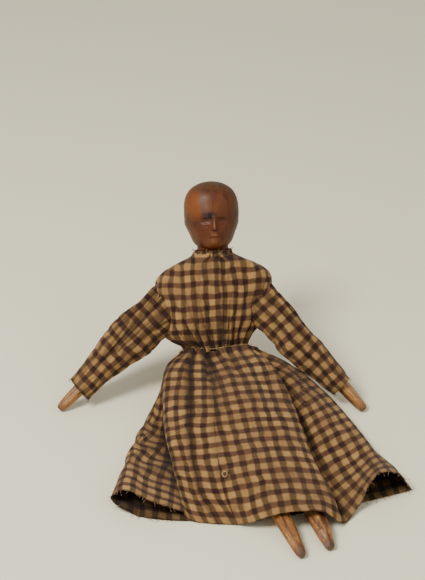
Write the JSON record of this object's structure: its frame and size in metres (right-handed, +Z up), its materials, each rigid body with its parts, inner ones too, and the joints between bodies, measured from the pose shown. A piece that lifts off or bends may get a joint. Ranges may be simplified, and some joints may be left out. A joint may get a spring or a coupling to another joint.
{
  "type": "jointed wooden doll",
  "caption": "Whittled wooden doll with a carved head and pegged limbs, in a gathered gingham dress, sitting with its legs out in front and its arms spread.",
  "frame": {"origin": "on the surface the doll sits on, straight below the middle of the hip dowel", "axes": "+Z up, the doll faces -Y, its left side is at +X"},
  "size_m": [0.2332, 0.265, 0.1455],
  "materials": {
    "varnished_wood": "satin",
    "worn_wood": "satin",
    "plain_wood": "matte",
    "gingham": "matte"
  },
  "bodies": {
    "hips": {"hip_dowel": "plain_wood", "hip_pin_left": "plain_wood", "hip_pin_right": "plain_wood", "skirt_front": "gingham", "skirt_back": "gingham"},
    "torso": {"torso_block": "plain_wood", "neck_peg": "plain_wood", "shoulder_peg_left": "plain_wood", "shoulder_peg_right": "plain_wood", "bodice_front": "gingham", "bodice_back": "gingham", "neck_binding": "gingham"},
    "head": {"head": "varnished_wood"},
    "shoulder_left": {"shoulder_dowel_left": "plain_wood", "shoulder_pin_left": "plain_wood"},
    "arm_left": {"arm_left": "worn_wood", "sleeve_left": "gingham"},
    "leg_left": {"leg_left": "worn_wood"},
    "shoulder_right": {"shoulder_dowel_right": "plain_wood", "shoulder_pin_right": "plain_wood"},
    "arm_right": {"arm_right": "worn_wood", "sleeve_right": "gingham"},
    "leg_right": {"leg_right": "worn_wood"}
  },
  "joints": [
    {"name": "hip_bend", "type": "hinge", "parent": "hips", "child": "torso", "pos_m": [0, 0, 0.011], "axis": [1, 0, 0], "range_deg": [-18, 8]},
    {"name": "neck_turn", "type": "hinge", "parent": "torso", "child": "head", "pos_m": [0, 0.03804, 0.09257], "axis": [0, 0.4226, 0.9063], "range_deg": [-75, 75]},
    {"name": "shoulder_swing_left", "type": "hinge", "parent": "torso", "child": "shoulder_left", "pos_m": [0.027, 0.02831, 0.07172], "axis": [-1, 0, 0], "range_deg": [-3, 80]},
    {"name": "shoulder_swing_right", "type": "hinge", "parent": "torso", "child": "shoulder_right", "pos_m": [-0.027, 0.02831, 0.07172], "axis": [-1, 0, 0], "range_deg": [-12, 80]},
    {"name": "arm_spread_left", "type": "hinge", "parent": "shoulder_left", "child": "arm_left", "pos_m": [0.027, 0.02831, 0.07172], "axis": [0, -0.7059, 0.7083], "range_deg": [-1, 50]},
    {"name": "arm_spread_right", "type": "hinge", "parent": "shoulder_right", "child": "arm_right", "pos_m": [-0.027, 0.02831, 0.07172], "axis": [0, 0.8329, -0.5534], "range_deg": [-14, 40]},
    {"name": "leg_splay_left", "type": "hinge", "parent": "hips", "child": "leg_left", "pos_m": [0.014, 0, 0.011], "axis": [0, 0, 1], "range_deg": [-1.2, 2]},
    {"name": "leg_splay_right", "type": "hinge", "parent": "hips", "child": "leg_right", "pos_m": [-0.014, 0, 0.011], "axis": [0, 0, -1], "range_deg": [-1.2, 3]}
  ]
}
